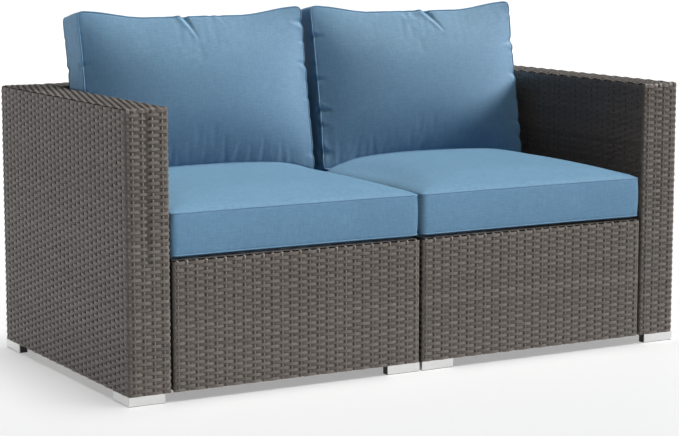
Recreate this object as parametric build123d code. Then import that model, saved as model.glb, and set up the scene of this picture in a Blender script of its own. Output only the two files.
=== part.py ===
from build123d import *
import math
import os

# A two-seat patio loveseat made of two one-arm chairs that stand side by side and are clipped together.
# Millimetres, +Z up, the front of the seat towards -Y, so +X is to the right as seen from the front.
# The origin is on the floor, under the middle of the whole seat. The left chair is modelled and then
# mirrored, except that the right back cushion stands a little nearer the middle of the seat.

# Whole seat
overall_width = 1400
overall_depth = 700
body_height = 610
chair_gap = 5
foot_height = 20
arm_width = 98
back_thickness = 98
panel_groove = 4
deck_height = 295

# Woven skins and the square steel tube behind them
skin = 4
skin_corner_radius = 8
skin_edge_radius = 3
tube = 20
tube_wall = 1.5
crossbar_count = 3

# Bolts between the frames
bolt_radius = 3
bolt_head_width = 10
bolt_head_height = 4
bolt_tip = 3
bolt_inset = 60
bolt_hole_clearance = 0.3
washer_radius = 8
washer_thickness = 1.5
spacer_radius = 7
spacer_clearance = 0.2
nut_width = 10
nut_height = 5
nut_clearance = 0.05

# Feet
foot_leg = 82
foot_plate_thickness = 2
foot_plate_inset = 1
foot_plate_lift = 1
glide_width = 18
foot_screw_radius = 2.5
foot_screw_clearance = 0.05
foot_screw_reach = 4
foot_screw_head_radius = 4.5
foot_screw_head_height = 3
foot_screw_recess = 6
foot_screw_recess_clearance = 0.5
foot_screw_place_share = 0.67

# Clips that hold the two chairs together
clip_length = 40
clip_thickness = 3
clip_ear_height = 20
clip_setback = 120

# Seat cushions
seat_band = 95
seat_crown = 34
seat_front_setback = 5
seat_rear_gap = 4
seat_side_gap = 4
seat_draw_in = 5

# Back cushions
back_cushion_height = 352
back_band = 86
back_crown = 34
back_draw_in = 9
back_lean = 10.5
back_side_gap = 16
back_middle_gap = 20
back_contact_steps = 100
right_back_cushion_shift = 15

# All cushions
cushion_corner_radius = 14
cushion_puff = 2
cover_thickness = 2.5
soft_gap = 0.5

# A cutting tool runs past the faces that it cuts by this much
overrun = 1

# Shares of a cushion's half size at which its crown is drawn, and how much of the crown each has
crown_ring_shares = (1, 0.92, 0.78, 0.6, 0.4, 0.2)
crown_power = 3
crown_round_share = 0.55

# Places that the pieces of the left chair share
outer_x = -overall_width / 2
arm_inner_x = outer_x + arm_width
seat_outer_x = arm_inner_x + panel_groove
inner_x = -chair_gap / 2
front_y = -overall_depth / 2
rear_y = overall_depth / 2
back_front_y = rear_y - back_thickness
seat_rear_y = back_front_y - panel_groove
low_rail_z = (foot_height + skin, foot_height + skin + tube)
seat_rail_z = (deck_height - skin - tube, deck_height - skin)


def block(x, y, z):
    """A box between the low and high limits of each axis."""
    middle = Pos((x[0] + x[1]) / 2, (y[0] + y[1]) / 2, (z[0] + z[1]) / 2)
    return middle * Box(x[1] - x[0], y[1] - y[0], z[1] - z[0])


def inset(limits, by):
    return (limits[0] + by, limits[1] - by)


def first_end(limits, width):
    return (limits[0], limits[0] + width)


def last_end(limits, width):
    return (limits[1] - width, limits[1])


def both_ends(limits, width):
    return [first_end(limits, width), last_end(limits, width)]


def rod(place, start, stop, radius):
    """A round rod along the z axis of a place, from start to stop."""
    return place * Pos(0, 0, (start + stop) / 2) * Cylinder(radius, stop - start)


def hexagon(place, start, stop, width):
    """A six-sided bar along the z axis of a place, width across its flats."""
    face = RegularPolygon(width / 2, 6, major_radius=False)
    return place * Pos(0, 0, start) * extrude(face, stop - start)


# Where the bolts go. Each place lies on the inner face of a seat rail and its z axis points out of
# the seat, into the arm or the back.
bolt_heights = [sum(low_rail_z) / 2, sum(seat_rail_z) / 2]
arm_bolt_places = [
    Plane(origin=(seat_outer_x + tube, y, z), z_dir=(-1, 0, 0))
    for y in (front_y + bolt_inset, seat_rear_y - bolt_inset)
    for z in bolt_heights
]
back_bolt_places = [
    Plane(origin=(x, seat_rear_y - tube, z), z_dir=(0, 1, 0))
    for x in (seat_outer_x + bolt_inset, inner_x - bolt_inset)
    for z in bolt_heights
]
bolt_places = arm_bolt_places + back_bolt_places
spacer_end = tube + panel_groove + skin
nut_seat = spacer_end + tube_wall


def bolt_holes(places):
    """The clearance holes that the bolts need in the tubes, along their whole length."""
    radius = bolt_radius + bolt_hole_clearance
    return [rod(place, -overrun, nut_seat + overrun, radius) for place in places]


def spacer_holes(places):
    """The wider holes in a woven skin, which let a spacer reach the tube behind it."""
    radius = spacer_radius + spacer_clearance
    return [rod(place, tube, spacer_end + overrun, radius) for place in places]


# Where the feet go: the outer corner of each, and the way that its two legs run from there
arm_feet = [(outer_x, front_y, 1, 1), (outer_x, rear_y, 1, -1)]
seat_feet = [(inner_x, front_y, -1, 1)]
back_feet = [(inner_x, rear_y, -1, -1)]
feet = arm_feet + seat_feet + back_feet
glide_start = foot_plate_inset + foot_plate_thickness
screw_offset = glide_start + glide_width / 2
screw_run = foot_leg * foot_screw_place_share


def corner_bracket(foot, start, width, leg, z):
    """Two legs that meet at a corner and begin at start, in from the outer faces."""
    x, y, way_x, way_y = foot
    long_x = sorted((x + way_x * start, x + way_x * leg))
    long_y = sorted((y + way_y * start, y + way_y * leg))
    narrow_x = sorted((x + way_x * start, x + way_x * (start + width)))
    narrow_y = sorted((y + way_y * start, y + way_y * (start + width)))
    return block(long_x, narrow_y, z) + block(narrow_x, long_y, z)


def screw_places(foot):
    """The two screws of a foot, one in each leg, seen from the floor."""
    x, y, way_x, way_y = foot
    spots = [(screw_run, screw_offset), (screw_offset, screw_run)]
    return [Plane(origin=(x + way_x * a, y + way_y * b, 0), z_dir=(0, 0, 1)) for a, b in spots]


def screw_holes(some_feet):
    """The holes that the foot screws need in a skin and in the tube above it."""
    radius = foot_screw_radius + foot_screw_clearance
    top = foot_height + skin + tube_wall + overrun
    places = [place for foot in some_feet for place in screw_places(foot)]
    return [rod(place, foot_height - overrun, top, radius) for place in places]


def welded_frame(x, y, z, extra_bars):
    """A box-shaped frame of square tube, with one tube along each edge of the box and extra bars."""
    bars = [(x, b, c) for b in both_ends(y, tube) for c in both_ends(z, tube)]
    bars += [(a, y, c) for a in both_ends(x, tube) for c in both_ends(z, tube)]
    bars += [(a, b, z) for a in both_ends(x, tube) for b in both_ends(y, tube)]
    bars += extra_bars
    outside = Part() + [block(*bar) for bar in bars]
    bores = Part() + [block(*(inset(side, tube_wall) for side in bar)) for bar in bars]
    return outside - bores


def woven_case(x, y, z, holes):
    """A closed woven skin around a frame, rounded at its upright corners and along its top edges."""
    outside = block(x, y, z)
    outside = fillet(outside.edges().filter_by(Axis.Z), skin_corner_radius)
    outside = fillet(outside.faces().sort_by(Axis.Z)[-1].edges(), skin_edge_radius)
    inside = block(*(inset(side, skin) for side in (x, y, z)))
    return outside - inside - holes


def arm_pieces():
    x = (outer_x, arm_inner_x)
    y = (front_y, rear_y)
    z = (foot_height, body_height)
    inner = [inset(side, skin) for side in (x, y, z)]
    middle_y = (-tube / 2, tube / 2)
    seat_rail = (last_end(inner[0], tube), inner[1], seat_rail_z)
    middle_posts = [(side, middle_y, inner[2]) for side in both_ends(inner[0], tube)]
    frame = welded_frame(*inner, [seat_rail] + middle_posts)
    frame = frame - bolt_holes(arm_bolt_places) - screw_holes(arm_feet)
    case = woven_case(x, y, z, spacer_holes(arm_bolt_places) + screw_holes(arm_feet))
    return {"arm_frame": frame, "arm_wicker": case}


def back_pieces():
    x = (seat_outer_x, inner_x)
    y = (back_front_y, rear_y)
    z = (foot_height, body_height)
    inner = [inset(side, skin) for side in (x, y, z)]
    middle = (x[0] + x[1]) / 2
    middle_x = (middle - tube / 2, middle + tube / 2)
    seat_rail = (inner[0], first_end(inner[1], tube), seat_rail_z)
    middle_posts = [(middle_x, side, inner[2]) for side in both_ends(inner[1], tube)]
    frame = welded_frame(*inner, [seat_rail] + middle_posts)
    frame = frame - bolt_holes(back_bolt_places) - screw_holes(back_feet)
    case = woven_case(x, y, z, spacer_holes(back_bolt_places) + screw_holes(back_feet))
    return {"back_frame": frame, "back_wicker": case}


def open_tube(x, y, z, axis):
    """A square tube with open ends, along the axis of that number."""
    outside = (x, y, z)
    bore = [inset(side, -overrun if i == axis else tube_wall) for i, side in enumerate(outside)]
    return block(*outside) - block(*bore)


def seat_pieces():
    """The seat box: cut tubes set end to face as they are welded, the woven apron and the deck."""
    x = (seat_outer_x, inner_x - skin)
    y = (front_y + skin, seat_rear_y)
    between_x = inset(x, tube)
    between_y = inset(y, tube)
    between_z = (low_rail_z[1], seat_rail_z[0])
    holes = bolt_holes(bolt_places) + screw_holes(seat_feet)
    rails = []
    for z in (low_rail_z, seat_rail_z):
        rails += [open_tube(x, end, z, 0) for end in both_ends(y, tube)]
        rails += [open_tube(end, between_y, z, 1) for end in both_ends(x, tube)]
    posts = [open_tube(a, b, between_z, 2) for a in both_ends(x, tube) for b in both_ends(y, tube)]
    pitch = (between_x[1] - between_x[0]) / (crossbar_count + 1)
    bar_middles = [between_x[0] + pitch * (i + 1) for i in range(crossbar_count)]
    crossbars = [open_tube((m - tube / 2, m + tube / 2), between_y, seat_rail_z, 1) for m in bar_middles]
    wall_z = (foot_height, deck_height)
    floor_z = (foot_height, foot_height + skin)
    hem = skin + tube
    front = (seat_outer_x, inner_x)
    apron = block(front, first_end((front_y, seat_rear_y), skin), wall_z)
    apron += block(last_end(front, skin), (front_y, seat_rear_y), wall_z)
    corner = apron.edges().filter_by(Axis.Z).sort_by(Axis.Y)[:2].sort_by(Axis.X)[-1]
    apron = fillet(corner, skin_corner_radius)
    apron += block(front, first_end((front_y + skin, seat_rear_y), tube), floor_z)
    apron += block(last_end((seat_outer_x, inner_x - skin), tube), (front_y + hem, seat_rear_y), floor_z)
    return {
        "seat_rails": [rail - holes for rail in rails],
        "seat_posts": posts,
        "seat_crossbars": crossbars,
        "apron_wicker": apron - screw_holes(seat_feet),
        "seat_deck": block(x, y, (deck_height - skin, deck_height)),
    }


def bolt_pieces():
    """The bolts, their washers and spacers, and the nuts that are welded inside the far tubes."""
    head_start = -washer_thickness
    tip = nut_seat + nut_height + bolt_tip
    hole = bolt_radius + bolt_hole_clearance
    bolts = [
        hexagon(place, head_start - bolt_head_height, head_start, bolt_head_width)
        + rod(place, head_start, tip, bolt_radius)
        for place in bolt_places
    ]
    washers = [
        rod(place, head_start, 0, washer_radius) - rod(place, head_start - overrun, overrun, hole)
        for place in bolt_places
    ]
    spacers = [
        rod(place, tube, spacer_end, spacer_radius) - rod(place, tube - overrun, spacer_end + overrun, hole)
        for place in bolt_places
    ]
    nut_bore = bolt_radius + nut_clearance
    nuts = [
        hexagon(place, nut_seat, nut_seat + nut_height, nut_width)
        - rod(place, nut_seat - overrun, nut_seat + nut_height + overrun, nut_bore)
        for place in bolt_places
    ]
    return {"frame_bolts": bolts, "bolt_washers": washers, "bolt_spacers": spacers, "frame_nuts": nuts}


def foot_pieces():
    """Bright corner plates, the black glides behind them that carry the seat, and their screws."""
    plate_z = (foot_plate_lift, foot_height)
    plates = []
    glides = []
    screws = []
    for foot in feet:
        plates.append(corner_bracket(foot, foot_plate_inset, foot_plate_thickness, foot_leg, plate_z))
        glide = corner_bracket(foot, glide_start, glide_width, foot_leg, (0, foot_height))
        for place in screw_places(foot):
            recess = foot_screw_head_radius + foot_screw_recess_clearance
            glide -= rod(place, -overrun, foot_screw_recess, recess)
            glide -= rod(place, -overrun, foot_height + overrun, foot_screw_radius + foot_screw_clearance)
            tip = foot_height + skin + tube_wall + foot_screw_reach
            head_base = foot_screw_recess - foot_screw_head_height
            head = rod(place, head_base, foot_screw_recess, foot_screw_head_radius)
            screws.append(head + rod(place, foot_screw_recess, tip, foot_screw_radius))
        glides.append(glide)
    return {"foot_plates": plates, "foot_glides": glides, "foot_screws": screws}


def chair_clips():
    """Two channels pushed up over the lowest inner rails of both chairs, near the front and the rear."""
    reach = chair_gap / 2 + skin + tube
    outside_z = (foot_height - clip_thickness, foot_height + clip_ear_height)
    middles = (front_y + clip_setback + clip_length / 2, seat_rear_y - clip_setback - clip_length / 2)
    clips = []
    for middle in middles:
        y = (middle - clip_length / 2, middle + clip_length / 2)
        outside = block((-reach - clip_thickness, reach + clip_thickness), y, outside_z)
        inside = block((-reach, reach), inset(y, -overrun), (foot_height, outside_z[1] + overrun))
        clips.append(outside - inside)
    return clips


def crown_share(share):
    """How much of the crown's height a cushion has at this share of the way out to its seam."""
    return 1 - share**crown_power


def cushion_outline(half_x, half_y, draw_in, share, z):
    """A cushion's outline at one height: four sides that pull in between rounded corners.
    A ring further up the crown is smaller, has straighter sides and rounder corners."""
    a = half_x * share
    b = half_y * share
    corner = share * (cushion_corner_radius + (1 - share) * crown_round_share * min(half_x, half_y))
    pull = draw_in * share * (2 * share - 1)
    cut = corner * (1 - math.cos(math.radians(45)))
    edges = []
    for sx, sy in ((1, 1), (-1, 1), (-1, -1), (1, -1)):
        on_end = (sx * a, sy * (b - corner), z)
        on_side = (sx * (a - corner), sy * b, z)
        first, last = (on_end, on_side) if sx == sy else (on_side, on_end)
        edges.append(ThreePointArc(first, (sx * (a - cut), sy * (b - cut), z), last))
        if sx == sy:
            edges.append(ThreePointArc(last, (0, sy * (b - pull), z), (-sx * (a - corner), sy * b, z)))
        else:
            edges.append(ThreePointArc(last, (sx * (a - pull), 0, z), (sx * a, -sy * (b - corner), z)))
    return make_face(Wire(edges))


def cushion_form(width, length, band, top_crown, bottom_crown, draw_in, shrink):
    """A boxed cushion lying flat, its lower seam at z = 0. Its top, and its bottom if that has a
    crown too, swell up from the seams. shrink takes it in on every side."""
    half_x = width / 2 - shrink
    half_y = length / 2 - shrink
    low = shrink if bottom_crown == 0 else 0
    high = band - shrink if bottom_crown == 0 else band
    lift = 0 if bottom_crown == 0 else shrink
    puffed = (half_x + cushion_puff, half_y + cushion_puff)
    form = loft([
        cushion_outline(half_x, half_y, draw_in, 1, low),
        cushion_outline(*puffed, draw_in, 1, (low + high) / 2),
        cushion_outline(half_x, half_y, draw_in, 1, high),
    ])
    crowns = [(high, top_crown - lift, 1)]
    if bottom_crown:
        crowns.append((low, bottom_crown - lift, -1))
    for seam, crown, way in crowns:
        rings = [
            cushion_outline(half_x, half_y, draw_in, share, seam + way * crown * crown_share(share))
            for share in crown_ring_shares
        ]
        form += loft(rings)
    return form


def cushion_pieces(name, place, sizes):
    """A sewn cover and the foam core inside it, both in the cushion's place."""
    outside = cushion_form(*sizes, 0)
    cavity = cushion_form(*sizes, cover_thickness)
    core = cushion_form(*sizes, cover_thickness + soft_gap)
    return {f"{name}_cover": place * (outside - cavity), f"{name}_core": place * core}


def seat_cushion_pieces():
    x = (arm_inner_x + seat_side_gap, -seat_side_gap)
    y = (front_y + seat_front_setback, back_front_y - seat_rear_gap)
    place = Pos((x[0] + x[1]) / 2, (y[0] + y[1]) / 2, deck_height + soft_gap)
    sizes = (x[1] - x[0], y[1] - y[0], seat_band, seat_crown, 0, seat_draw_in)
    return cushion_pieces("seat_cushion", place, sizes)


def back_cushion_reach(highest):
    """How far behind its lower rear seam a leaning back cushion bulges, below this height above it."""
    lean = math.radians(back_lean)
    reach = 0
    for step in range(back_contact_steps + 1):
        up = back_cushion_height * step / back_contact_steps
        bulge = back_crown * crown_share(abs(2 * up / back_cushion_height - 1))
        if up * math.cos(lean) - bulge * math.sin(lean) <= highest:
            reach = max(reach, up * math.sin(lean) + bulge * math.cos(lean))
    return reach


def back_cushion_pieces():
    """The back cushion stands on the seat cushion's crown and leans on the back behind it."""
    front_seam_z = deck_height + soft_gap + seat_band + seat_crown + soft_gap
    rear_seam_z = front_seam_z - back_band * math.sin(math.radians(back_lean))
    rear_seam_y = back_front_y - soft_gap - back_cushion_reach(body_height - rear_seam_z)
    x = (arm_inner_x + back_side_gap, -back_middle_gap)
    place = Pos((x[0] + x[1]) / 2, rear_seam_y, rear_seam_z)
    place *= Rot(90 - back_lean, 0, 0) * Pos(0, back_cushion_height / 2, 0)
    sizes = (x[1] - x[0], back_cushion_height, back_band, back_crown, back_crown, back_draw_in)
    return cushion_pieces("back_cushion", place, sizes)


def solids_of(shape):
    """The separate solids of a piece, or of a list of like pieces."""
    pieces = shape if isinstance(shape, list) else [shape]
    return [solid for piece in pieces for solid in piece.solids()]


def write(name, solids):
    export_step(Compound(solids), f"parts/{name}.step")


os.makedirs("parts", exist_ok=True)
chair = {}
chair.update(arm_pieces())
chair.update(back_pieces())
chair.update(seat_pieces())
chair.update(bolt_pieces())
chair.update(foot_pieces())
chair.update(seat_cushion_pieces())
chair.update(back_cushion_pieces())
for name, shape in chair.items():
    left = solids_of(shape)
    right = [solid.mirror(Plane.YZ) for solid in left]
    if name.startswith("back_cushion"):
        right = [Pos(-right_back_cushion_shift, 0, 0) * solid for solid in right]
    write(f"left_{name}", left)
    write(f"right_{name}", right)
write("chair_clips", solids_of(chair_clips()))
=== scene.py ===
import math

import bpy
import numpy as np
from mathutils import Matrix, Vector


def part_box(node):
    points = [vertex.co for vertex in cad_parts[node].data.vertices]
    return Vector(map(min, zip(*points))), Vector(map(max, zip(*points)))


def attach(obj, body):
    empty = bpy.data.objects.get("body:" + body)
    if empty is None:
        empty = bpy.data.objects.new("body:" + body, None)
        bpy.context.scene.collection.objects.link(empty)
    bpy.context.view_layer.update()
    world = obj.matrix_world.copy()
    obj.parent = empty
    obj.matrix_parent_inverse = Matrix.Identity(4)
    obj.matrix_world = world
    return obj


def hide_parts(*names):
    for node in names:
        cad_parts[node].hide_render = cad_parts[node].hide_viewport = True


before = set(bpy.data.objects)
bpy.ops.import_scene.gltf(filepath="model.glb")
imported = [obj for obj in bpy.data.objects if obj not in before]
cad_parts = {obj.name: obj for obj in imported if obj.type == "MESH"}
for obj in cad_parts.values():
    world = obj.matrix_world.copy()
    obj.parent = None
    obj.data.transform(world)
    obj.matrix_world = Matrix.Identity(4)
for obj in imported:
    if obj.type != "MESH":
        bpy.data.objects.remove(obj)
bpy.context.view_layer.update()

# The welded frames of the arms, the backs and the seats. They are square steel tube, powder coated dark
# brown to match the resin that is woven over them. The coat's patches and grains are counted in a metre.
coat_dark = (0.030, 0.026, 0.023, 1)
coat_light = (0.050, 0.044, 0.039, 1)
coat_patches = 9.0
coat_grains = 900.0
coat_grain_depth = 0.0002
both = ("left", "right")
frame_parts = ("arm_frame", "back_frame", "seat_rails", "seat_posts", "seat_crossbars")


class Socket:
    """A value in a shader. Sums with it add Math nodes, so that a pattern reads like arithmetic."""

    def __init__(self, nodes, link):
        self.nodes = nodes
        self.link = link

    def calculate(self, operation, *values):
        return self.nodes.node("ShaderNodeMath", {"operation": operation}, dict(enumerate(values)))

    def __add__(self, other):
        return self.calculate("ADD", self, other)

    def __sub__(self, other):
        return self.calculate("SUBTRACT", self, other)

    def __rsub__(self, other):
        return self.calculate("SUBTRACT", other, self)

    def __mul__(self, other):
        return self.calculate("MULTIPLY", self, other)

    __radd__ = __add__
    __rmul__ = __mul__

    def sine(self):
        return self.calculate("SINE", self)

    def clamped(self):
        """The value, kept between 0 and 1."""
        return self.nodes.node("ShaderNodeClamp", {}, {"Value": self})


class Nodes:
    """A shader under construction. node() adds any node: its type, its settings, then its sockets."""

    def __init__(self, tree):
        self.tree = tree

    def feed(self, socket, value):
        if isinstance(value, Socket):
            self.tree.links.new(value.link, socket)
        else:
            socket.default_value = value

    def node(self, kind, settings, sockets, output=0):
        node = self.tree.nodes.new(kind)
        for name, value in settings.items():
            setattr(node, name, value)
        for name, value in sockets.items():
            self.feed(node.inputs[name], value)
        return Socket(self, node.outputs[output])

    def position(self):
        """Where a point lies, in metres from the piece's origin."""
        return self.node("ShaderNodeTexCoord", {}, {}, output=3)

    def parts(self, vector):
        """The three parts of a vector."""
        first = self.node("ShaderNodeSeparateXYZ", {}, {"Vector": vector})
        return [Socket(self, link) for link in first.link.node.outputs]

    def join(self, parts):
        """A vector of three parts."""
        return self.node("ShaderNodeCombineXYZ", {}, dict(enumerate(parts)))

    def noise(self, place, scale=1.0, detail=2.0):
        return self.node("ShaderNodeTexNoise", {}, {"Vector": place, "Scale": scale, "Detail": detail})

    def mix(self, amount, first, second):
        """One colour over another. A Mix node has its colours at 6 and 7, and gives theirs at 2."""
        ends = {"Factor": amount, 6: first, 7: second}
        return self.node("ShaderNodeMix", {"data_type": "RGBA"}, ends, output=2)

    def bump(self, height, strength, distance):
        return self.node("ShaderNodeBump", {}, {"Strength": strength, "Distance": distance, "Height": height})


class Finish(Nodes):
    """A material. Its name comes first, then the shader's own sockets that stay plain values."""

    def __init__(self, name, **fixed):
        self.material = bpy.data.materials.new(name)
        self.material.use_nodes = True
        super().__init__(self.material.node_tree)
        self.drive(**fixed)

    def drive(self, **sockets):
        """Feeds the shader's own sockets."""
        shader = self.tree.nodes["Principled BSDF"]
        for name, value in sockets.items():
            self.feed(shader.inputs[name.replace("_", " ")], value)
        return self


def powder_coat():
    """Baked powder, satin, a little uneven in colour and finely pebbled."""
    finish = Finish("powder_coated_steel", Roughness=0.5)
    place = finish.position()
    body = finish.mix(finish.noise(place, coat_patches, 3.0), coat_dark, coat_light)
    grain = finish.bump(finish.noise(place, coat_grains), 0.3, coat_grain_depth)
    return finish.drive(Base_Color=body, Normal=grain).material


def paint(names, material):
    """Gives CAD nodes a finish."""
    for name in names:
        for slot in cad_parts[name].material_slots:
            slot.material = material


paint([f"{side}_{part}" for side in both for part in frame_parts], powder_coat())

# The bolts, washers, nuts and spacers that join each seat to its arm and its back, and the foot screws.
# They are steel, zinc plated, with a faint spangle.
zinc_dark = (0.42, 0.43, 0.45, 1)
zinc_light = (0.62, 0.62, 0.60, 1)
zinc_clouds = 120.0
zinc_spangles = 700.0
fasteners = ("frame_bolts", "bolt_washers", "bolt_spacers", "frame_nuts", "foot_screws")


def zinc_plate():
    """Dull silver plate, clouded, with small crystals that differ in sheen."""
    finish = Finish("zinc_plate", Metallic=1.0)
    place = finish.position()
    crystals = finish.node("ShaderNodeTexVoronoi", {}, {"Vector": place, "Scale": zinc_spangles})
    body = finish.mix(finish.noise(place, zinc_clouds), zinc_dark, zinc_light)
    return finish.drive(Base_Color=body, Roughness=crystals * 0.15 + 0.28).material


paint([f"{side}_{part}" for side in both for part in fasteners], zinc_plate())

# The feet. Each is a bright corner plate of brushed aluminium with a black plastic glide behind it, which
# is screwed up into the frame and carries the chair. The clips that hold the two chairs together are
# moulded from the same plastic.
aluminium_dark = (0.72, 0.72, 0.72, 1)
aluminium_light = (0.90, 0.90, 0.89, 1)
brush_lines = (40, 40, 2600)
brush_depth = 0.0001
plastic_dark = (0.012, 0.012, 0.012, 1)
plastic_light = (0.022, 0.022, 0.022, 1)
plastic_grains = 1500.0
plastic_grain_depth = 0.0002


def brushed_aluminium():
    """Bare metal, brushed level, so its fine lines lie close together up the plate."""
    finish = Finish("brushed_aluminium", Metallic=1.0)
    stretch = {0: finish.position(), 1: brush_lines}
    lines = finish.noise(finish.node("ShaderNodeVectorMath", {"operation": "MULTIPLY"}, stretch), detail=3.0)
    body = finish.mix(lines, aluminium_dark, aluminium_light)
    bump = finish.bump(lines, 0.2, brush_depth)
    return finish.drive(Base_Color=body, Roughness=lines * 0.2 + 0.22, Normal=bump).material


def moulded_plastic():
    """Black plastic with the fine grain of its mould."""
    finish = Finish("moulded_black_plastic", IOR=1.49)
    grain = finish.noise(finish.position(), plastic_grains)
    body = finish.mix(grain, plastic_dark, plastic_light)
    bump = finish.bump(grain, 0.3, plastic_grain_depth)
    return finish.drive(Base_Color=body, Roughness=grain * 0.15 + 0.45, Normal=bump).material


paint([f"{side}_foot_plates" for side in both], brushed_aluminium())
paint([f"{side}_foot_glides" for side in both] + ["chair_clips"], moulded_plastic())

# The woven arms. Each arm's frame is wrapped in flat strands of brown-grey resin, which run level round it
# and in and out of upright stakes. On top the stakes cross over, and the strands run lengthwise.
resin_dark = (0.094, 0.079, 0.068, 1)
resin_light = (0.150, 0.130, 0.114, 1)
resin_lines = (30.0, 14.0, 90.0)
resin_line_depth = 0.0002
strand_pitch = 0.0070
strand_width = 0.0069
strand_thickness = 0.0013
strand_slack = 0.00018
stake_pitch = 0.0220
stake_width = 0.0056
stake_thickness = 0.0024
stake_turn_in = 0.03
top_turn_down = 0.010
wave_height = (strand_thickness + stake_thickness) / 2
edge_angle = math.radians(38)
deck_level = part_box("left_seat_deck")[1][2]
loose = np.random.default_rng(4)

# The middle of the weave and the painted shade box lie this far behind a panel's face. The box is dark, and
# stands for the shade in the hollow inside of the weave. An open end is tucked in round a corner, and a
# strand lies flatter within bend_reach of a bend.
weave_depth = 0.0020
shade_box_depth = 0.0048
tuck = 0.012
bend_radius = 0.0060
bend_steps = 5
bend_reach = 0.005
closest_points = 0.0012

FRONT = (0, -1, 0)
REAR = (0, 1, 0)
LEFT = (-1, 0, 0)
RIGHT = (1, 0, 0)
UP = (0, 0, 1)
facing_share = 0.9

# Cross-sections, across and outward. A strand is nearly flat, and a stake has a ridge.
strand_shares = np.array([(-0.5, 0.28), (0, 0.5), (0.5, 0.28), (0.47, -0.5), (-0.47, -0.5)])
stake_shares = np.array([(-0.5, 0.05), (0, 0.5), (0.5, 0.05), (0.46, -0.5), (-0.46, -0.5)])
strand_section = strand_shares * (strand_width, strand_thickness)
stake_section = stake_shares * (stake_width, stake_thickness)

# A strand's way from each stake to the next: how much of that way it has gone, and how far out it lies
# there. It dives behind the next stake from the front of this one, or comes out from behind this one.
dive_shares = ([0, 0.15, 0.58, 0.88], [1, 0.92, 0.25, -0.93])
rise_shares = ([0, 0.12, 0.42, 0.85], [-1, -0.93, 0.25, 0.92])


def resin_finish():
    """Extruded resin, satin, with fine lines along the strand and a tone of its own for each."""
    finish = Finish("resin_strand", Roughness=0.42)
    marks = finish.node("ShaderNodeAttribute", {"attribute_name": "strand"}, {}, output=1)
    run, across, tone = finish.parts(marks)
    drawn_out = [part * scale for part, scale in zip((run, across, tone), resin_lines)]
    lines = finish.noise(finish.join(drawn_out))
    body = finish.mix(tone * 0.7 + (lines - 0.5) * 0.5 + 0.15, resin_dark, resin_light)
    bump = finish.bump(lines, 0.3, resin_line_depth)
    return finish.drive(Base_Color=body, Normal=bump).material


def unit(vectors):
    return vectors / np.linalg.norm(vectors, axis=1, keepdims=True)


def evenly(length, pitch, multiple=1):
    """The middles of the equal parts of a length that are about one pitch long."""
    count = round(length / pitch / multiple) * multiple
    return length / count * (np.arange(count) + 0.5)


class PanelLine:
    """The line that strands or stakes follow over a panel's outer faces: straight stretches between
    rounded right-angled corners, with the way out at each point."""

    def __init__(self, corners, outward):
        corners = np.array(corners, float)
        outward = np.array(outward, float)
        points = [corners[0]]
        ways = [outward[0]]
        for corner, before, after in zip(corners[1:-1], outward[:-1], outward[1:]):
            centre = corner - bend_radius * (before + after)
            for angle in np.linspace(0, math.pi / 2, bend_steps + 1):
                way = before * math.cos(angle) + after * math.sin(angle)
                points.append(centre + bend_radius * way)
                ways.append(way)
        self.points = np.array([*points, corners[-1]])
        self.ways = np.array([*ways, outward[-1]])
        steps = np.linalg.norm(np.diff(self.points, axis=0), axis=1)
        self.run = np.concatenate(([0], np.cumsum(steps)))
        self.length = self.run[-1]

    def at(self, run):
        """The points at these runs along the line, and the ways out there. Past a ring's end it goes round
        once more."""
        run = np.where(run > self.length, run - self.length, run)
        point = np.stack([np.interp(run, self.run, self.points[:, i]) for i in range(3)], -1)
        way = np.stack([np.interp(run, self.run, self.ways[:, i]) for i in range(3)], -1)
        return point, unit(way)

    def bends(self):
        """Where the line turns, as runs along it, once round and once more."""
        turning = np.linalg.norm(np.diff(self.ways, axis=0), axis=1) > 1e-6
        at_bend = self.run[1:][turning]
        return np.concatenate((at_bend, at_bend + self.length))


def tube_faces(rings, corners, closed):
    """The faces round a row of rings of points. A closed row goes on to its first ring."""
    first = np.arange(rings if closed else rings - 1)[:, None] * corners
    after = (first + corners) % (rings * corners)
    turn = np.arange(corners)
    turned = (turn + 1) % corners
    return np.stack([first + turn, after + turn, after + turned, first + turned], -1).reshape(-1, 4)


def strip(points, ways, section, run, height, tone, closed=False):
    """A strip of flat resin along a line of points: its corners, its faces, the marks that its finish
    reads, which are how far along and across it a corner lies and its tone, and its place on the map."""
    if closed:
        along = unit(np.roll(points, -1, 0) - np.roll(points, 1, 0))
    else:
        along = unit(np.gradient(points, axis=0))
    out = unit(ways - (ways * along).sum(1, keepdims=True) * along)
    side = np.cross(out, along)
    across, lift = section.T
    rings = points[:, None] + side[:, None] * across[:, None] + out[:, None] * lift[:, None]
    count, corners = rings.shape[:2]
    faces = tube_faces(count, corners, closed).tolist()
    if not closed:
        faces.append(list(range(corners)))
        faces.append(list(range(count * corners - 1, (count - 1) * corners - 1, -1)))
    marks = np.stack(np.broadcast_arrays(run[:, None], across / np.ptp(across), tone), -1)
    chart = np.stack(np.broadcast_arrays(run[:, None], height + across), -1)
    return rings.reshape(-1, 3), faces, marks.reshape(-1, 3), chart.reshape(-1, 2)


def painted_shade_box(low, high):
    """Painted shade: a dark box inside a woven panel, which closes the view between its strands and stands
    for the shade in its hollow inside. It has no marks, so it takes the resin's darkest tone.
    """
    ends = np.array([low, high])
    points = np.array([(ends[i, 0], ends[j, 1], ends[k, 2]) for k in (0, 1) for j in (0, 1) for i in (0, 1)])
    faces = [[0, 2, 3, 1], [4, 5, 7, 6], [0, 1, 5, 4], [2, 6, 7, 3], [0, 4, 6, 2], [1, 3, 7, 5]]
    return points, faces, np.zeros((8, 3)), np.zeros((8, 2))


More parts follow.
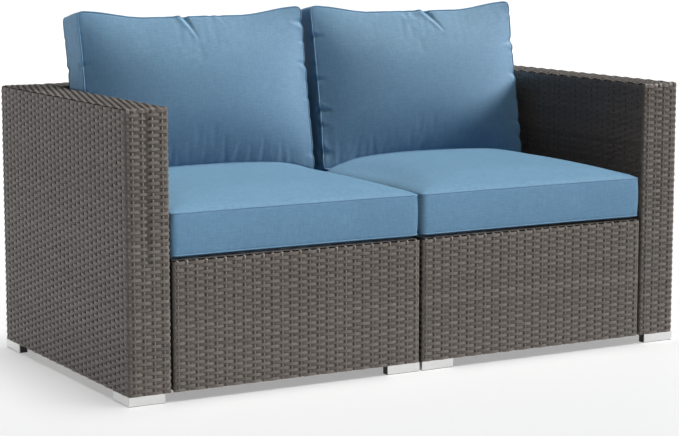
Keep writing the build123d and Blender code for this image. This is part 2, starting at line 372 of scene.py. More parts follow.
def strand_runs(line, stakes, row, start, stop):
    """Where a strand is drawn along its line and how far out it lies there: it crosses a stake in front,
    then the next one behind, and runs straight from one to the other. It lies flatter near a bend."""
    gaps = np.diff(stakes, append=stakes[-1] * 2 - stakes[-2])
    dives = ((np.arange(len(stakes)) + row) % 2 == 0)[:, None]
    knots = (stakes[:, None] + gaps[:, None] * np.where(dives, dive_shares[0], rise_shares[0])).ravel()
    waves = np.where(dives, dive_shares[1], rise_shares[1]).ravel()
    bends = line.bends()
    inner = np.concatenate((knots, bends))
    run = np.unique(np.concatenate((inner[(inner > start) & (inner < stop)], [start, stop])))
    run = run[np.concatenate(([True], np.diff(run) > closest_points))]
    from_bend = np.abs(run[:, None] - bends).min(1)
    flatter = 1 - 0.5 * np.exp(-(from_bend / bend_reach) ** 2)
    return run, np.interp(run, knots, waves) * flatter


def woven_rows(line, stakes, offsets, rise, span=None, closed=False, first_row=0):
    """One strand for each offset, which lies that far from the line along the rise direction. The
    strands run along a span of the line, or along all of it."""
    start, stop = span or (0, line.length)
    rise = np.array(rise, float)
    strips = []
    for row, offset in enumerate(offsets, first_row):
        run, wave = strand_runs(line, stakes, row, start, stop)
        if closed:
            run, wave = run[:-1], wave[:-1]
        point, way = line.at(run)
        slack = loose.normal(0, strand_slack, (len(run), 2))
        point = point + way * (wave * wave_height - weave_depth + slack[:, 0])[:, None]
        point = point + rise * (offset + slack[:, 1])[:, None]
        strips.append(strip(point, way, strand_section, run, offset, loose.random(), closed))
    return strips


def stake_strip(corners, outward):
    """A stake along its own line, bent round the edges that the line turns over."""
    line = PanelLine(corners, outward)
    bends = line.bends()
    run = np.concatenate(([0], bends[bends < line.length], [line.length]))
    point, way = line.at(run)
    return strip(point - way * weave_depth, way, stake_section, run, 0, loose.random())


def put_in_scene(name, data):
    """A new object in the scene, made from its mesh, lamp or camera."""
    thing = bpy.data.objects.new(name, data)
    bpy.context.scene.collection.objects.link(thing)
    return thing


def woven_piece(name, strips, node):
    """Joins strips into one piece, which belongs to the frame and stands for a CAD node."""
    points, strip_faces, marks, charts = zip(*strips)
    faces = []
    start = 0
    for strip_points, some_faces in zip(points, strip_faces):
        faces += [[start + corner for corner in face] for face in some_faces]
        start += len(strip_points)
    mesh = bpy.data.meshes.new(name)
    mesh.from_pydata(np.concatenate(points), [], faces)
    mesh.set_sharp_from_angle(angle=edge_angle)
    strand = mesh.attributes.new("strand", "FLOAT_VECTOR", "POINT")
    strand.data.foreach_set("vector", np.concatenate(marks).astype(np.float32).ravel())
    chart = np.concatenate(charts)
    chart = (chart - chart.min(0)) / (chart.max(0) - chart.min(0))
    corners = np.zeros(len(mesh.loops), np.int32)
    mesh.loops.foreach_get("vertex_index", corners)
    layer = mesh.uv_layers.new(name="OFBake")
    layer.uv.foreach_set("vector", chart[corners].astype(np.float32).ravel())
    mesh.materials.append(resin)
    piece = put_in_scene(name, mesh)
    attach(piece, "frame")
    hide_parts(node)


class WovenSlab:
    """A woven box. sides are its four ways out, in the order in which its strands run round it. The
    second one faces the seat, and below the deck the strands leave it out."""

    def __init__(self, name, *sides):
        self.name = name
        self.node = f"{name}_wicker"
        self.sides = np.array(sides, float)
        self.low, self.high = (np.array(corner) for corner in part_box(self.node))
        self.middles = [self.foot(side) for side in self.sides]
        self.corners = [self.foot(way) for way in self.sides + np.roll(self.sides, -1, 0)]
        around = [self.middles[0], *self.corners, self.middles[0]]
        self.ring = PanelLine(around, [*self.sides, self.sides[0]])
        self.stakes = evenly(self.ring.length, stake_pitch, 2)
        self.stake_feet, self.stake_ways = self.ring.at(self.stakes)
        self.crossing = self.stake_ways @ self.sides[1] > facing_share
        self.bottom = np.array([0, 0, self.low[2]])
        self.top = np.array([0, 0, self.high[2]])

    def foot(self, way):
        """The point on the floor below the middle of a side, or below a corner."""
        middle = (self.low + self.high) / 2
        return np.where(way > 0, self.high, np.where(way < 0, self.low, middle)) * (1, 1, 0)

    def weave(self):
        self.weave_round()
        self.stand_stakes()
        self.weave_top()

    def weave_round(self):
        """The strands round the slab, open at the hidden side below the deck and closed above it."""
        heights = self.low[2] + evenly(self.high[2] - self.low[2] - strand_pitch / 2, strand_pitch)
        lower = heights[heights < deck_level]
        upper = heights[heights >= deck_level]
        stakes = np.concatenate((self.stakes, self.stakes + self.ring.length))
        first_corner = math.dist(self.middles[0], self.corners[0])
        second_corner = first_corner + math.dist(self.corners[0], self.corners[1])
        span = (second_corner - tuck, self.ring.length + first_corner + tuck)
        strips = woven_rows(self.ring, stakes, lower, UP, span)
        woven_piece(f"{self.name}_weave_low", strips, self.node)
        strips = woven_rows(self.ring, stakes, upper, UP, closed=True, first_row=len(lower))
        woven_piece(f"{self.name}_weave_high", strips, self.node)

    def stand_stakes(self):
        """The stakes, round a painted shade box that stands for the shade inside. Those of the ends turn in
        over the top edge, and those of the second side cross over the top and go down the far side."""
        # Painted shade: a dark box inside the stakes stands for the shade in the hollow slab.
        strips = [painted_shade_box(self.low + shade_box_depth, self.high - shade_box_depth)]
        at_ends = np.abs(self.stake_ways @ self.sides[0]) > facing_share
        for foot, way in zip(self.stake_feet[at_ends], self.stake_ways[at_ends]):
            edge = foot + self.top
            strips.append(stake_strip([foot + self.bottom, edge, edge - way * stake_turn_in], [way, UP]))
        across = self.middles[3] - self.middles[1]
        for near in self.stake_feet[self.crossing]:
            far = near + across
            over = [near + self.bottom, near + self.top, far + self.top, far + self.bottom]
            strips.append(stake_strip(over, [self.sides[1], UP, self.sides[3]]))
        woven_piece(f"{self.name}_stakes", strips, self.node)

    def weave_top(self):
        """The strands along the top, which turn down a little over both ends."""
        begin, end = self.middles[0] + self.top, self.middles[2] + self.top
        down = np.array([0, 0, top_turn_down])
        cap = PanelLine([begin - down, begin, end, end - down], [self.sides[0], UP, self.sides[2]])
        width = np.linalg.norm(self.middles[3] - self.middles[1]) - strand_pitch
        offsets = evenly(width, strand_pitch) - width / 2
        from_begin = (self.stake_feet[self.crossing] - self.middles[0]) @ self.sides[0]
        stakes = np.sort(np.abs(from_begin)) + top_turn_down
        strips = woven_rows(cap, stakes, offsets, self.sides[1])
        woven_piece(f"{self.name}_weave_top", strips, self.node)


resin = resin_finish()
WovenSlab("left_arm", FRONT, RIGHT, REAR, LEFT).weave()
WovenSlab("right_arm", FRONT, LEFT, REAR, RIGHT).weave()

# The woven backs. Each chair's back is a slab on a frame of its own, wrapped and woven like the arms, and
# bolted to the rear of the seat. The cushions hide most of its front.
WovenSlab("left_back", LEFT, FRONT, RIGHT, REAR).weave()
WovenSlab("right_back", RIGHT, FRONT, LEFT, REAR).weave()

# The woven aprons. Each chair's front panel is woven like the arms, over the front rails of the seat, and
# turns in at the groove beside the arm and at the middle of the seat, where the two chairs meet.
apron_return = 0.030
apron_stake_turn_in = 0.025
# The apron's painted shade boxes, dark boxes that stand for the shade inside its weave, are this thin.
apron_shade_box_thickness = 0.0002

# A rounded corner makes a line shorter by this much.
bend_saving = bend_radius * (2 - math.pi / 2)


def woven_apron(side, way):
    """way points from the middle of the seat to this chair's arm, and is -1 or 1."""
    node = f"{side}_apron_wicker"
    low, high = (np.array(corner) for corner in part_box(node))
    groove_x, middle_x = (low[0], high[0]) if way < 0 else (high[0], low[0])
    front_y, bottom, top = low[1], low[2], high[2]
    around = [(groove_x, front_y + tuck, 0), (groove_x, front_y, 0), (middle_x, front_y, 0),
              (middle_x, front_y + apron_return, 0)]
    line = PanelLine(around, [(way, 0, 0), FRONT, (-way, 0, 0)])
    width = high[0] - low[0]
    columns = evenly(width, stake_pitch)
    pitch = width / len(columns)
    stakes = tuck - bend_saving + pitch * (np.arange(-2, len(columns) + 3) + 0.5)
    heights = bottom + evenly(top - bottom - strand_pitch / 2, strand_pitch)
    woven_piece(f"{side}_apron_weave", woven_rows(line, stakes, heights, UP), node)

    # Painted shade: dark boxes behind the front and inside the middle end stand for the shade in the hollow
    # weave.
    inner_y = front_y + shade_box_depth
    inner_x = middle_x + way * shade_box_depth
    roof = top - shade_box_depth
    front = [(low[0] + shade_box_depth, inner_y, bottom), (high[0] - shade_box_depth, inner_y + apron_shade_box_thickness, roof)]
    inner = [(inner_x - apron_shade_box_thickness / 2, inner_y, bottom), (inner_x + apron_shade_box_thickness / 2, high[1], roof)]
    strips = [painted_shade_box(*front), painted_shade_box(*inner)]
    for x in groove_x - way * columns:
        over = [(x, front_y, bottom), (x, front_y, top), (x, front_y + apron_stake_turn_in, top)]
        strips.append(stake_strip(over, [FRONT, UP]))
    woven_piece(f"{side}_apron_stakes", strips, node)


woven_apron("left", -1)
woven_apron("right", 1)

# The seat decks. Wide flat straps of the same resin are woven both ways across the seat rails, and the
# seat cushion lies on them.
strap_pitch = 0.0262
strap_width = 0.0240
strap_thickness = 0.0011
strap_flat_share = 0.38
strap_section = strand_shares * (strap_width, strap_thickness)


def woven_deck(side):
    """A deck's straps, each one flat over or under the strap that it crosses."""
    node = f"{side}_seat_deck"
    low, high = (np.array(corner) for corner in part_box(node))
    level = high[2] - strap_thickness * 1.1
    strips = []
    for axis in (0, 1):
        lanes = evenly(high[1 - axis] - low[1 - axis], strap_pitch)
        crossings = evenly(high[axis] - low[axis], strap_pitch)
        flat = strap_flat_share * (high[axis] - low[axis]) / len(crossings)
        run = np.stack([crossings - flat, crossings + flat], -1).ravel()
        for number, lane in enumerate(lanes):
            over = np.where((np.arange(len(crossings)) + number) % 2 == axis, 1.0, -1.0)
            points = np.zeros((len(run), 3))
            points[:, axis] = low[axis] + run
            points[:, 1 - axis] = low[1 - axis] + lane
            points[:, 2] = level + np.repeat(over, 2) * strap_thickness / 2
            ways = np.tile(np.array(UP, float), (len(run), 1))
            strips.append(strip(points, ways, strap_section, run, number, loose.random()))
    woven_piece(f"{side}_deck_straps", strips, node)


woven_deck("left")
woven_deck("right")

# The cushions' covers. Each is sewn from blue slub linen, two panels with a band between them, over a
# foam block. The foam blows each panel up into a crown, and the sewn edges hold the cover's outline.
linen_dark = (0.080, 0.185, 0.305, 1)
linen_light = (0.140, 0.285, 0.435, 1)
thread_depth = 0.0006
cover_corner = 0.012
band_puff = 0.002
lift_reach = 0.018
roll_reach = 0.024
seam_width = 0.0032
seam_height = 0.0046
seam_sides = 6
gather_overrun = 0.012
gather_width = 0.0035

# Slubs are counted in a metre, endways and sideways, and so are worn patches. Threads are waves, in
# radians in a metre.
slubs_endways = 60.0
slubs_sideways = 700.0
worn_patches = 14.0
thread_waves = 5200.0

# The cover is a grid of cells, and a point's three shares run from -1 to 1 over it. A side starts to pull
# in at corner_share, and does so in full pull_reach_share nearer its middle.
cloth_cell = 0.0072
pattern_gap = 0.75
at_edge = 0.999
corner_share = 0.97
pull_reach_share = 0.55
first_crown_share = 0.70

# What the foam does in each cover: the simulation runs for this many frames, with this pressure and with
# cloth cut a little larger than the foam, and no part of the cloth moves further than the cap.
foam_frames = 20
foam_pressure = 4
cloth_slack = -0.0015
swell_cap = 0.026


def linen_finish():
    """Linen-like cloth: warp and weft threads, with thicker slubs here and there both ways."""
    finish = Finish("blue_linen", Roughness=0.62, Specular_IOR_Level=0.30, Sheen_Weight=0.06)
    chart = finish.node("ShaderNodeUVMap", {"uv_map": "cloth"}, {})
    across, along, _ = finish.parts(chart)
    weft_slubs = finish.noise(finish.join((across * slubs_endways, along * slubs_sideways, 1.7)))
    warp_slubs = finish.noise(finish.join((across * slubs_sideways, along * slubs_endways, 5.3)))
    slubs = weft_slubs + warp_slubs
    worn = finish.noise(chart, worn_patches, 3.0)
    shade = (slubs - 1) * 1.1 + (worn - 0.5) * 0.2 + 0.5
    threads = (across * thread_waves).sine() * (along * thread_waves).sine()
    bump = finish.bump(threads * 0.4 + slubs, 0.35, thread_depth)
    return finish.drive(Base_Color=finish.mix(shade, linen_dark, linen_light), Normal=bump).material


def smooth_step(value):
    value = np.clip(value, 0, 1)
    return value * value * (3 - 2 * value)


def vectors_of(items, field):
    flat = np.zeros(len(items) * 3, np.float32)
    items.foreach_get(field, flat)
    return flat.reshape(-1, 3).astype(float)


def folded(flat, folds):
    """How far in each point is drawn by folds: valleys along short lines on the flat pattern, with a lip
    on one side, narrower towards their ends. Each fold is its start, its end, its depth, its half width
    and the share of its lip, which is negative for a lip on the other side."""
    drawn = np.zeros(len(flat))
    for start, end, depth, width, lip in folds:
        line = np.subtract(end, start)
        length = np.linalg.norm(line)
        way = line / length
        from_start = flat - start
        near = np.abs(from_start).max(1) < length + 4 * width
        along = from_start[near] @ way / length
        side = from_start[near] @ np.array([-way[1], way[0]]) * np.sign(lip)
        past = np.maximum(np.maximum(-along, along - 1), 0) * length / width
        fade = np.exp(-past ** 2) * (1 - 0.75 * smooth_step(along))
        spread = width * (1.4 - 0.8 * smooth_step(along))
        valley = np.exp(-(side / spread) ** 2)
        ridge = abs(lip) * np.exp(-((side - 1.7 * spread) / (1.3 * spread)) ** 2)
        drawn[near] += depth * fade * (valley - ridge)
    return drawn


class Cushion:
    """A boxed cushion. It is made lying flat round its centre, then turned and moved to its place.
    crowns are the swell of its two panels, rounder the lower the power, and pulls are how far its left,
    right, near and far sides pull in between their corners. The upper panel rolls over its seam by
    roll, and the lower seam stands rim_lift off what the cushion lies on."""

    def __init__(self, name, size, seed, band, crowns, power, pulls, roll=0, rim_lift=0):
        self.name = name
        self.size = (*size, band)
        self.half = (size[0] / 2, size[1] / 2)
        self.band = band
        self.crowns = crowns
        self.power = power
        self.pulls = pulls
        self.roll = roll
        self.rim_lift = rim_lift
        self.chance = np.random.default_rng(seed)
        self.cells = [round(length / cloth_cell) for length in self.size]
        self.build()

    def cloth_cells(self):
        """Each cell of the cover's six sides: its axis, whether it lies on the far side, and its corners as
        places in the grid, in the order that makes it face outward."""
        for axis in range(3):
            first, second = (axis + 1) % 3, (axis + 2) % 3
            for far_side in (False, True):
                for i, j in np.ndindex(self.cells[first], self.cells[second]):
                    ring = [(i, j), (i + 1, j), (i + 1, j + 1), (i, j + 1)]
                    places = []
                    for a, b in ring if far_side else reversed(ring):
                        place = {axis: far_side * self.cells[axis], first: a, second: b}
                        places.append((place[0], place[1], place[2]))
                    yield axis, far_side, places

    def build(self):
        """The closed grid of the cover, its seams, and its flat pattern in metres."""
        numbers = {}
        faces = []
        pattern = []
        for axis, far_side, places in self.cloth_cells():
            faces.append([numbers.setdefault(place, len(numbers)) for place in places])
            pattern += [self.cut(place, axis, far_side) for place in places]
        shares = np.array(list(numbers)) / np.array(self.cells) * 2 - 1
        mesh = bpy.data.meshes.new(self.name)
        mesh.from_pydata(self.form(*shares.T), [], faces)
        chart = mesh.uv_layers.new(name="cloth")
        chart.uv.foreach_set("vector", np.array(pattern, np.float32).ravel())
        marks = mesh.attributes.new("shares", "FLOAT_VECTOR", "POINT")
        marks.data.foreach_set("vector", shares.astype(np.float32).ravel())
        self.piece = put_in_scene(self.name, mesh)
        rims = np.flatnonzero((np.abs(shares[:, 2]) == 1) & (np.abs(shares[:, :2]).max(1) == 1))
        self.piece.vertex_groups.new(name="seams").add(rims.tolist(), 1.0, "REPLACE")

    def cut(self, place, axis, far_side):
        """Where a point lies on the flat pattern. The panels and the band lie apart on it."""
        x, y, z = (place[i] / self.cells[i] * self.size[i] for i in range(3))
        flat = {0: (y, z), 1: (x, z), 2: (x, y)}[axis]
        return (flat[0] + (2 * axis + far_side) * pattern_gap, flat[1])

    def form(self, across, along, up):
        """The cover before the foam fills it. across, along and up run from -1 to 1."""
        left, right, near, far = self.pulls
        half_x, half_y = self.half
        from_ends_x = smooth_step((corner_share - np.abs(along)) / pull_reach_share)
        from_ends_y = smooth_step((corner_share - np.abs(across)) / pull_reach_share)
        pull_x = np.where(across < 0, left, right) * from_ends_x
        pull_y = np.where(along < 0, near, far) * from_ends_y
        round_x = np.clip((np.abs(across) - 1) * half_x / cover_corner + 1, 0, 1)
        round_y = np.clip((np.abs(along) - 1) * half_y / cover_corner + 1, 0, 1)
        cut_x = cover_corner * round_x * (1 - np.sqrt(1 - round_y ** 2 / 2))
        cut_y = cover_corner * round_y * (1 - np.sqrt(1 - round_x ** 2 / 2))
        puff = band_puff * (1 - up ** 2)
        x = across * (half_x - pull_x) + np.sign(across) * (puff * (np.abs(across) > at_edge) - cut_x)
        y = along * (half_y - pull_y) + np.sign(along) * (puff * (np.abs(along) > at_edge) - cut_y)
        swell = (1 - np.abs(across) ** self.power) * (1 - np.abs(along) ** self.power)
        crown = np.where(up > 0, self.crowns[0], self.crowns[1]) * swell * first_crown_share
        from_rim = np.minimum((1 - np.abs(across)) * half_x, (1 - np.abs(along)) * half_y)
        lift = self.rim_lift * smooth_step(1 - from_rim / lift_reach) * (1 - up) / 2
        roll = self.roll * (up > at_edge) * (1 - np.clip(1 - from_rim / roll_reach, 0, 1) ** 2)
        z = up * (self.band / 2 + crown * (np.abs(up) > at_edge)) + lift + roll
        return np.stack([x, y, z], -1)

    def gathers(self, axis, end, spacing, depth, reach):
        """Short uneven folds across the seam at one end of an axis, so far apart, so deep and so long."""
        folds = []
        run = -self.half[1 - axis] + spacing * 0.6
        while run < self.half[1 - axis] - spacing * 0.4:
            size = self.chance.uniform(0.35, 1)
            slant = self.chance.uniform(-0.35, 0.35)
            length = reach * size * self.chance.uniform(0.6, 1.2)
            start = (end * (self.half[axis] + gather_overrun), run)
            stop = (end * (self.half[axis] - length), run + slant * length)
            if axis:
                start, stop = start[::-1], stop[::-1]
            folds.append((start, stop, depth * size, gather_width * (1 + size), 0.35))
            run += spacing * self.chance.uniform(0.55, 1.5)
        return folds

    def refine(self):
        """Rounds the cover once more, which is enough for its folds."""
        self.piece.modifiers.new("smooth", "SUBSURF").levels = 1
        graph = bpy.context.evaluated_depsgraph_get()
        mesh = bpy.data.meshes.new_from_object(self.piece.evaluated_get(graph), depsgraph=graph)
        self.piece.modifiers.clear()
        self.piece.data = mesh
        self.shares = vectors_of(mesh.attributes["shares"].data, "vector")
        self.points = vectors_of(mesh.vertices, "co")
        self.normals = vectors_of(mesh.vertex_normals, "vector")

    def fold(self, folds, panel):
        """Draws folds into one panel and into the half of the band beside it."""
        drop = (1 - np.abs(self.shares[:, 2:])) * self.band / 2
        sides = self.shares[:, :2]
        flat = sides * self.half + np.where(np.abs(sides) > at_edge, np.sign(sides) * drop, 0)
        drawn = folded(flat, folds) * smooth_step(panel * self.shares[:, 2] * 1.5 + 0.5)
        self.points -= self.normals * drawn[:, None]

    def finish(self):
        """Sets the final shape, joins the piece to its body, and hides the nodes that it stands for."""
        mesh = self.piece.data
        mesh.vertices.foreach_set("co", self.points.astype(np.float32).ravel())
        mesh.update()
        mesh.shade_smooth()
        mesh.materials.append(linen)
        self.dress(self.piece)
        self.sew()

    def dress(self, piece):
        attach(piece, self.name)
        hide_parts(f"{self.name}_cover", f"{self.name}_core")

    def sew(self):
        """The two seams between the panels and the band, where the cloth is turned in and stands up."""
        normals = vectors_of(self.piece.data.vertex_normals, "vector")
        outline = np.abs(self.shares[:, :2]).max(1) > at_edge
        turn = np.arange(seam_sides) * math.tau / seam_sides
        points = []
        faces = []
        for rim in (-1, 1):
            loop = np.flatnonzero((self.shares[:, 2] * rim > at_edge) & outline)
            loop = loop[np.argsort(np.arctan2(self.shares[loop, 1], self.shares[loop, 0]))]
            line, out = self.points[loop], normals[loop]
            side = unit(np.cross(out, np.roll(line, -1, 0) - np.roll(line, 1, 0)))
            wide = side[:, None] * (np.cos(turn) * seam_width / 2)[:, None]
            high = out[:, None] * (np.sin(turn) * seam_height / 2)[:, None]
            faces += (tube_faces(len(loop), seam_sides, True) + len(points)).tolist()
            points += (line[:, None] + wide + high).reshape(-1, 3).tolist()
        mesh = bpy.data.meshes.new(f"{self.name}_seams")
        mesh.from_pydata(points, [], faces)
        mesh.shade_smooth()
        mesh.uv_layers.new(name="cloth")
        mesh.materials.append(linen)
        self.dress(put_in_scene(mesh.name, mesh))


def fill_with_foam(cushions):
    """Blows the panels of all these cushions up against their pinned seams, less and less towards their
    outline. The bands keep their shape."""
    for cushion in cushions:
        cloth = cushion.piece.modifiers.new("cloth", "CLOTH")
        cloth.point_cache.frame_end = foam_frames
        cloth.collision_settings.use_collision = False
        cloth.settings.use_pressure = True
        cloth.settings.uniform_pressure_force = foam_pressure
        cloth.settings.effector_weights.gravity = 0
        cloth.settings.shrink_min = cloth_slack
        cloth.settings.vertex_group_mass = "seams"
    scene = bpy.context.scene
    for number in range(1, foam_frames + 1):
        scene.frame_set(number)
    graph = bpy.context.evaluated_depsgraph_get()
    for cushion in cushions:
        start = vectors_of(cushion.piece.data.vertices, "co")
        moved = vectors_of(cushion.piece.evaluated_get(graph).to_mesh().vertices, "co") - start
        cushion.piece.modifiers.clear()
        far = np.linalg.norm(moved, axis=1, keepdims=True)
        moved = moved * (swell_cap * np.tanh(far / swell_cap) / np.maximum(far, 1e-9))
        shares = vectors_of(cushion.piece.data.attributes["shares"].data, "vector")
        moved = moved * (1 - np.abs(shares[:, :2]) ** 10).prod(1)[:, None]
        cushion.piece.data.vertices.foreach_set("co", (start + moved).astype(np.float32).ravel())
    scene.frame_set(1)


linen = linen_finish()

# The seat cushions. Each fills its seat from the arm to the other chair and lies loose on the woven deck.
# Its top has a full, even crown that rolls over the seams, and its underside is nearly flat.
seat_play = 0.004
seat_shape = {
    "band": 0.095,
    "crowns": (0.036, 0.001),
    "power": 4,
    "pulls": (0.005, 0.005, 0.003, 0.003),
    "roll": 0.007,
    "rim_lift": 0.0075,
}
seat_gathers = (0.070, 0.0004, 0.025)


def seat_box(side):
    return (np.array(corner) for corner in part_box(f"{side}_seat_cushion_cover"))


seats = {}
for number, side in enumerate(both):
    low, high = seat_box(side)
    seats[side] = Cushion(f"{side}_seat_cushion", (high - low)[:2] - seat_play, number, **seat_shape)
fill_with_foam(seats.values())
for side, seat in seats.items():
    low, high = seat_box(side)
    seat.refine()
    for axis in (0, 1):
        for end in (-1, 1):
            seat.fold(seat.gathers(axis, end, *seat_gathers), 1)
    seat.points += ((low[0] + high[0]) / 2, (low[1] + high[1]) / 2, low[2] + seat.band / 2)
    seat.finish()

# The back cushions. They lean on the woven backs and stand loose on the seat cushions. Their top edges sag
# between the corners, one deep pinch runs down from each, and their feet gather where they rest.
back_size = (0.566, 0.363)
back_shape = {
    "band": 0.086,
    "crowns": (0.046, 0.046),
    "power": 2.6,
    "pulls": (0.002, 0.002, 0.001, 0.0175),
}
side_gathers = (0.050, 0.0055, 0.022)
foot_gathers = (0.028, 0.0014, 0.050)
head_gathers = (0.060, 0.0006, 0.018)
back_lean = math.radians(10.5)
back_rise = 0.0055

# How a back cushion settles: a plumb line from this height finds the seat below its foot, and the foot
# moves there, up or down, with the cloth within reach of it.
DOWN = (0, 0, -1)
plumb_height = 1.0
settle_gap = 0.0005
settle_reach = 0.080
most_drop = 0.026
most_lift = 0.020

# The creases at the top. Each is where it starts and ends on the cover, measured from the cover's middle,
# and then its depth, its half width and its lip.
pinch = (0.0065, 0.0050, -0.4)
left_crease = (0.0012, 0.0050, -0.4)
right_crease = (0.0011, 0.0050, -0.4)
top = back_size[1] / 2
creases = {
    "left": [((-0.028, top + 0.012), (-0.002, top - 0.052), *pinch),
             ((0.042, top + 0.006), (0.051, top - 0.025), *left_crease),
             ((0.063, top + 0.006), (0.080, top - 0.025), *left_crease)],
    "right": [((0.028, top + 0.010), (0.070, top - 0.052), *pinch),
              ((-0.0275, top - 0.008), (-0.012, top - 0.025), *right_crease),
              ((-0.006, top - 0.008), (0.011, top - 0.025), *right_crease)],
}


def settle(back, seat):
    """Moves the foot of a back cushion up or down until it lies on the seat cushion."""
    bpy.context.view_layer.update()
    share = (back.shares[:, 2] + 1) / 2
    feet = np.zeros(len(back.points))
    moves = np.zeros(len(back.points))
    for rim, weight in ((-1, 1 - share), (1, share)):
        edge = np.flatnonzero((back.shares[:, 2] * rim > at_edge) & (back.shares[:, 1] < -at_edge))
        edge = edge[np.argsort(back.shares[edge, 0])]
        starts = [(x, y, plumb_height) for x, y, _ in back.points[edge]]
        found = [seat.piece.ray_cast(start, DOWN)[1][2] for start in starts]
        move = np.clip(found - back.points[edge, 2] + settle_gap, -most_drop, most_lift)
        feet += weight * np.interp(back.shares[:, 0], back.shares[edge, 0], back.points[edge, 2])
        moves += weight * np.interp(back.shares[:, 0], back.shares[edge, 0], move)
    height = (back.points[:, 2] - feet) / settle_reach
    back.points[:, 2] += moves * np.clip(1 - height, 0, 1) ** 2


backs = {side: Cushion(f"{side}_back_cushion", back_size, 30 + number, **back_shape)
         for number, side in enumerate(both)}
fill_with_foam(backs.values())
upward = np.array([0, math.sin(back_lean), math.cos(back_lean)])
outward = np.array([0, -math.cos(back_lean), math.sin(back_lean)])
for side, back in backs.items():
    low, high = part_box(f"{side}_back_cushion_cover")
    back.refine()
    edges = (back.gathers(0, -1, *side_gathers) + back.gathers(0, 1, *side_gathers)
             + back.gathers(1, -1, *foot_gathers) + back.gathers(1, 1, *head_gathers))
    back.fold(edges + creases[side], 1)
    back.fold(edges, -1)
    back.points = back.points @ np.array([(1, 0, 0), upward, outward])
    back.points += (np.array(low) + np.array(high)) / 2 + upward * back_rise
    settle(back, seats[side])
    back.finish()

# The floor. It is a wide sheet of plain pale paper, laid flat, and the seat stands on it as it would in
# a studio.
floor_reach = 30
floor_colour = (0.9, 0.9, 0.9, 1)
mesh = bpy.data.meshes.new("floor")
corners = [(x * floor_reach, y * floor_reach, 0) for x, y in ((-1, -1), (1, -1), (1, 1), (-1, 1))]
mesh.from_pydata(corners, [], [(0, 1, 2, 3)])
mesh.materials.append(Finish("floor", Roughness=0.6, Base_Color=floor_colour).material)
floor = put_in_scene("floor", mesh)

# The camera stands to the left of the seat and a little above it, and looks slightly down on it. Its
# film is 36 mm wide, and the picture is 679 pixels wide.
camera_place = (-2.3616, -4.1234, 0.9814)
camera_heading = 29.73
camera_pitch = 8.20
camera_lens = 109.4
camera = put_in_scene("camera", bpy.data.cameras.new("camera"))
camera.data.lens = camera_lens
camera.location = camera_place
camera.rotation_euler = (math.radians(90 - camera_pitch), 0, math.radians(-camera_heading))
bpy.context.scene.camera = camera

# The light. A soft key comes from the right, with a height and a strength of its own for the weave, the
# backs and the seats. With it go soft lights from above, low fills from the left, a faint blue glow that
# the seats throw on the backs, a pool of light on the floor, and a dim room with a bright wall behind.
room_level = 0.058
room_colour = (0.97, 1, 1.03, 1)
wall_way = (0.5, 0.87, 0)
wall_level = 1.3
wall_top = 0.32
wall_edge = 0.4
warm = (1.12, 1, 0.82)
seat_blue = (0.15, 0.5, 1)
pool_height = 60
pool_level = 0.80
pool_softness = 8
pool_spread = 29
pool_edge_share = 0.15
pool_tilt = 12.3
pool_turn = -30

# Each far light's azimuth to the right of the front, its elevation, its level on a white surface that faces
# it, and how wide it looks from the seat.
weave_key = (70, 30, 1.60, 14)
back_key = (80, 28, 1.98, 24)
seat_key = (50, 45, 1.14, 24)
weave_overhead = (60, 84, 0.60, 30)
cushion_overhead = (60, 84, 0.56, 30)
low_fill = (-125, 3, 0.055, 12)
back_fill = (-110, 5, 0.35, 12)
seat_glow = (0, -55, 0.20, 20)

bpy.context.scene.view_settings.view_transform = "Standard"
world = bpy.data.worlds.new("studio")
bpy.context.scene.world = world
world.use_nodes = True
background = world.node_tree.nodes["Background"]
room = Nodes(world.node_tree)
look = room.node("ShaderNodeTexCoord", {}, {})
behind = room.node("ShaderNodeVectorMath", {"operation": "DOT_PRODUCT"}, {0: look, 1: wall_way}, output=1)
low_down = ((wall_top - room.parts(look)[2]) * 5).clamped()
facing = ((behind - wall_edge) * 2).clamped()
room.feed(background.inputs["Strength"], facing * low_down * wall_level + room_level)
room.feed(background.inputs["Color"], room_colour)


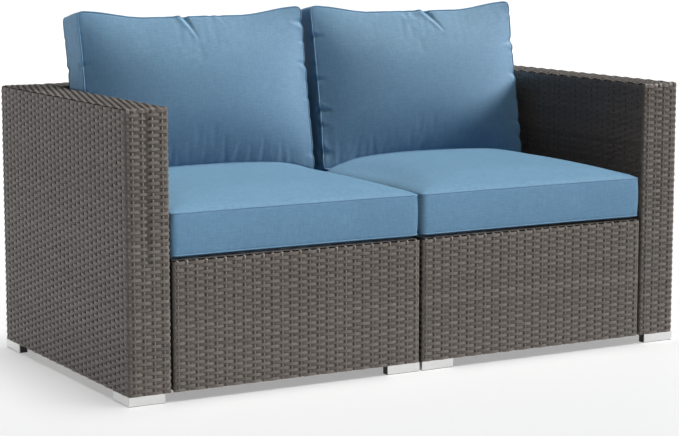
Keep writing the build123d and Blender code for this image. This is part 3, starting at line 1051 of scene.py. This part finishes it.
def far_light(name, azimuth, elevation, level, spread, colour=(1, 1, 1)):
    light = bpy.data.lights.new(name, "SUN")
    light.energy = level * math.pi
    light.angle = math.radians(spread)
    light.color = colour
    lamp = put_in_scene(name, light)
    lamp.rotation_euler = (math.radians(90 - elevation), 0, math.radians(azimuth))
    return lamp


def collect(name, pieces):
    group = bpy.data.collections.new(name)
    for piece in pieces:
        group.objects.link(piece)
    return group


def light_only(lamp, pieces):
    lamp.light_linking.receiver_collection = collect(f"{lamp.name}_lights", pieces)


def light_all_but(lamp, pieces):
    light_only(lamp, pieces)
    for entry in lamp.light_linking.receiver_collection.collection_objects:
        entry.light_linking.link_state = "EXCLUDE"


def shade_with(lamp, pieces):
    """Only these pieces throw shadows in this light."""
    lamp.light_linking.blocker_collection = collect(f"{lamp.name}_shadows", pieces)


seat_pieces = [seat.piece for seat in seats.values()]
back_pieces = [back.piece for back in backs.values()]
soft_pieces = seat_pieces + back_pieces
light_all_but(far_light("key", *weave_key), [floor, *soft_pieces])
light_only(far_light("back_key", *back_key), back_pieces)
lamp = far_light("seat_key", *seat_key)
light_only(lamp, seat_pieces)
shade_with(lamp, soft_pieces)
light_all_but(far_light("top", *weave_overhead), soft_pieces)
light_only(far_light("warm_top", *cushion_overhead, warm), soft_pieces)
far_light("left_fill", *low_fill)
light_only(far_light("back_fill", *back_fill), back_pieces)

# The glow stands for what the seats throw on the backs, and they throw none on the arms.
lamp = far_light("seat_glow", *seat_glow, seat_blue)
light_only(lamp, back_pieces)
shade_with(lamp, back_pieces)
for piece in seat_pieces:
    piece.visible_diffuse = False
    piece.visible_glossy = False

light = bpy.data.lights.new("floor_pool", "SPOT")
light.energy = pool_level * (2 * math.pi * pool_height) ** 2
light.shadow_soft_size = pool_softness
light.spot_size = math.radians(pool_spread)
light.spot_blend = pool_edge_share
pool = put_in_scene("floor_pool", light)
pool.location = (0, 0, pool_height)
pool.rotation_euler = (math.radians(pool_tilt), 0, math.radians(pool_turn))
light_only(pool, [floor])
foot_parts = ("foot_plates", "foot_glides")
shade_with(pool, [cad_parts[f"{side}_{part}"] for side in both for part in foot_parts])
